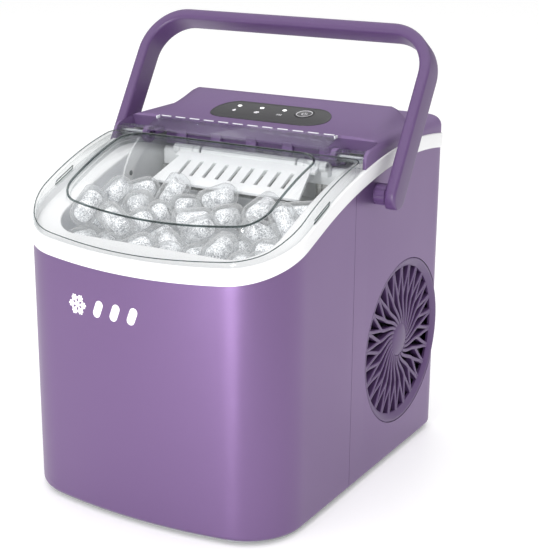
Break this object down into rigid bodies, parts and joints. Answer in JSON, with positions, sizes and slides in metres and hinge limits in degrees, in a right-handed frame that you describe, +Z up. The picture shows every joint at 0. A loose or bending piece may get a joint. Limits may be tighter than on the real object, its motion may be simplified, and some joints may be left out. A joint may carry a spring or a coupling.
{
  "type": "countertop ice maker",
  "caption": "Boxy countertop bullet ice maker with a sloping clear lid, white rim band, round side vent, tilting carry handle and lift-out basket.",
  "frame": {"origin": "on the table, under the middle of the body", "axes": "+Z up, -Y towards the front face, +X to the side with the round vent"},
  "size_m": [0.259, 0.292, 0.3444],
  "materials": {
    "body_purple": "satin pearl purple ABS",
    "cover_purple": "satin purple ABS",
    "handle_purple": "satin purple ABS",
    "trim_white": "gloss white ABS",
    "lid_clear": "clear polycarbonate",
    "panel_dark": "dark grey satin film",
    "button_dark": "dark grey",
    "light_white": "milky light pipe",
    "liner_white": "white food grade plastic",
    "basket_white": "white food grade plastic",
    "foam": "rigid polyurethane foam",
    "rubber_dark": "moulded rubber",
    "rubber_grey": "moulded silicone",
    "steel": "stainless steel",
    "nickel": "nickel plated copper",
    "copper": "drawn copper",
    "aluminium": "mill finish fins",
    "compressor_black": "black enamel",
    "fan_grey": "moulded grey",
    "motor_metal": "painted steel",
    "board_green": "solder mask",
    "base_grey": "moulded grey",
    "inlet_black": "moulded black"
  },
  "bodies": {
    "root": {"front_housing": "body_purple", "rear_housing": "body_purple", "trim_ring": "trim_white", "base_plate": "base_grey", "rubber_feet": "rubber_dark", "foot_screws": "steel", "top_cover": "cover_purple", "control_panel": "panel_dark", "status_lights": "light_white", "display_board": "board_green", "lid_hinge_pin_right": "steel", "lid_hinge_pin_left": "steel", "handle_hub_right": "handle_purple", "handle_hub_left": "handle_purple", "handle_pin_right": "steel", "handle_pin_left": "steel", "inner_tank": "liner_white", "foam_jacket": "foam", "tray_motor": "motor_metal", "freezing_fingers": "nickel", "evaporator": "nickel", "evaporator_cover": "liner_white", "shovel_pins": "steel", "shovel_brackets": "liner_white", "ice_level_sensors": "panel_dark", "water_probes": "steel", "water_pump": "inlet_black", "pump_hose": "rubber_grey", "drain_spout": "base_grey", "vent_grille": "cover_purple", "fan_motor": "motor_metal", "fan_shroud": "fan_grey", "condenser": "aluminium", "compressor": "compressor_black", "compressor_grommets": "rubber_dark", "discharge_line": "copper", "suction_line": "copper", "filter_drier": "copper", "main_board": "board_green", "board_standoffs": "base_grey", "power_inlet": "inlet_black"},
    "handle": {"carry_handle": "handle_purple"},
    "lid": {"lid": "lid_clear"},
    "basket": {"ice_basket": "basket_white"},
    "tray": {"water_tray": "liner_white", "tray_axles": "steel"},
    "shovel": {"ice_shovel": "liner_white"},
    "fan": {"fan_blade": "fan_grey"},
    "button": {"power_button": "button_dark"},
    "drain_plug": {"drain_plug": "rubber_grey"}
  },
  "joints": [
    {"name": "carry_handle_pivot", "type": "hinge", "parent": "root", "child": "handle", "pos_m": [0, 0.016, 0.2277], "axis": [-1, 0, 0], "range_deg": [-112, 34]},
    {"name": "lid_hinge", "type": "hinge", "parent": "root", "child": "lid", "pos_m": [0, 0.003, 0.254], "axis": [-1, 0, 0], "range_deg": [0, 80]},
    {"name": "basket_lift", "type": "slide", "parent": "root", "child": "basket", "axis": [0, 0, 1], "range_m": [0, 0.012]},
    {"name": "tray_tilt", "type": "hinge", "parent": "root", "child": "tray", "pos_m": [0, 0.045, 0.2122], "axis": [1, 0, 0], "range_deg": [0, 50]},
    {"name": "shovel_swing", "type": "hinge", "parent": "root", "child": "shovel", "pos_m": [0, 0.019, 0.2417], "axis": [1, 0, 0], "range_deg": [0, 40]},
    {"name": "fan_spin", "type": "hinge", "parent": "root", "child": "fan", "pos_m": [0.092, 0.07, 0.097], "axis": [1, 0, 0], "continuous": true},
    {"name": "power_button_press", "type": "slide", "parent": "root", "child": "button", "axis": [0, 0.1908, -0.9816], "range_m": [0, 0.0008], "stiffness_N_per_m": 300},
    {"name": "drain_plug_pull", "type": "slide", "parent": "root", "child": "drain_plug", "axis": [-1, 0, 0], "range_m": [0, 0.01]}
  ],
  "couplings": [
    {"joint": "shovel_swing", "follows": "tray_tilt", "ratio": 0.8}
  ]
}
